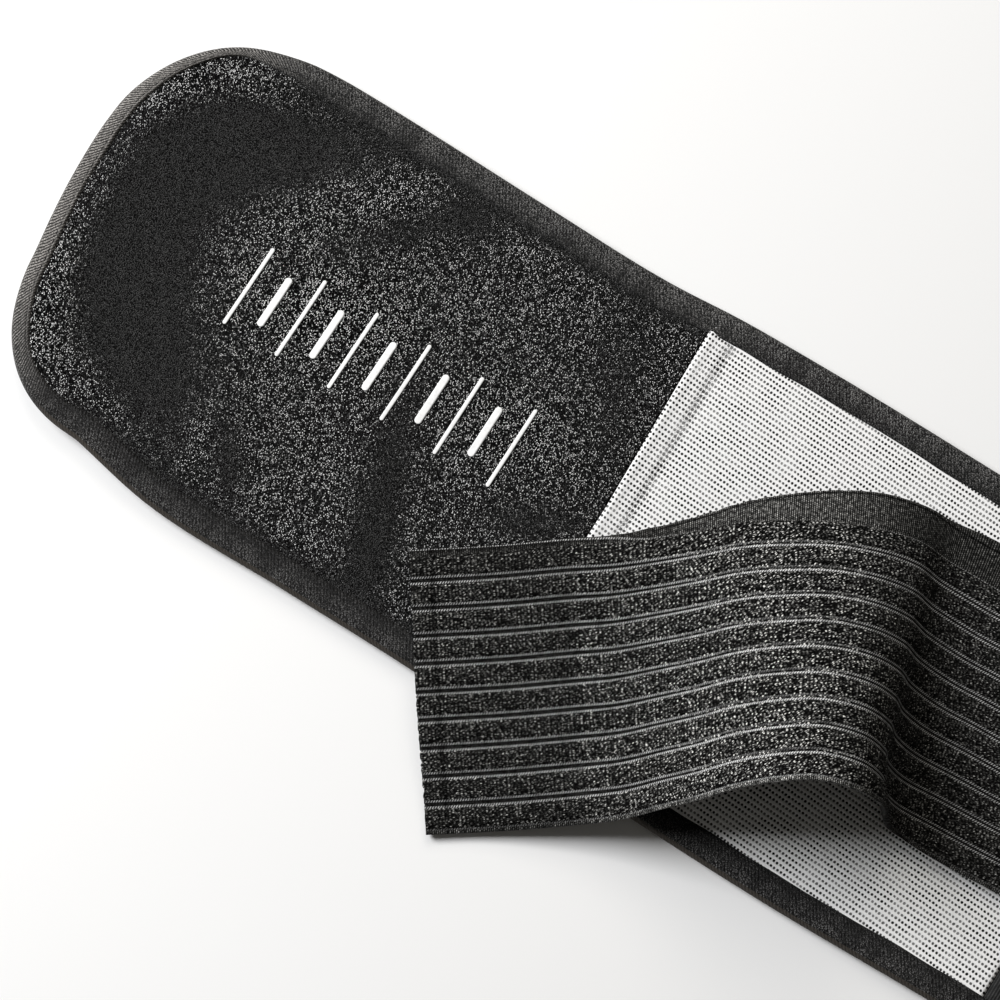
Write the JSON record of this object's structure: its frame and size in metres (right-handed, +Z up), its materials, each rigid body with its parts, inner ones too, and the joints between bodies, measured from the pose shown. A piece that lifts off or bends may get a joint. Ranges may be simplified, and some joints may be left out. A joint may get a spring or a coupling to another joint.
{
  "type": "motorcycle lumbar belt",
  "caption": "Padded lumbar belt lying open: velour wings with fit marks, white mesh, bound edge, and ribbed elastic tension straps with hook patches, thrown back in a soft hump.",
  "frame": {"origin": "on the surface that the belt lies on, under the middle of the box round the whole belt", "axes": "+X along the belt from the wing with the fit marks towards the other wing, +Y across it towards its upper edge, +Z up, out of its outer face"},
  "size_m": [1, 0.1964, 0.0582],
  "materials": {
    "velour": "black loop velour with a sparkling pile",
    "mesh": "white spacer mesh with rows of small open cells",
    "back": "black finely ribbed cloth",
    "pad": "black lined foam",
    "binding": "black woven tape with a fine rib and a stitch line",
    "strap": "black ribbed elastic with pale thread lines",
    "hook": "black hook tape",
    "print": "matt white transfer print"
  },
  "bodies": {
    "root": {"body_pad": "pad", "loop_panel_left": "velour", "mesh_panel_left": "mesh", "back_panel": "back", "mesh_panel_right": "mesh", "loop_panel_right": "velour", "edge_binding": "binding", "strap_left": "strap", "strap_left_hook": "hook", "strap_right": "strap", "strap_right_hook": "hook", "closing_hook": "hook", "fit_mark_01": "print", "fit_mark_02": "print", "fit_mark_03": "print", "fit_mark_04": "print", "fit_mark_05": "print", "fit_mark_06": "print", "fit_mark_07": "print", "fit_mark_08": "print", "fit_mark_09": "print", "fit_mark_10": "print", "fit_mark_11": "print"}
  },
  "joints": []
}
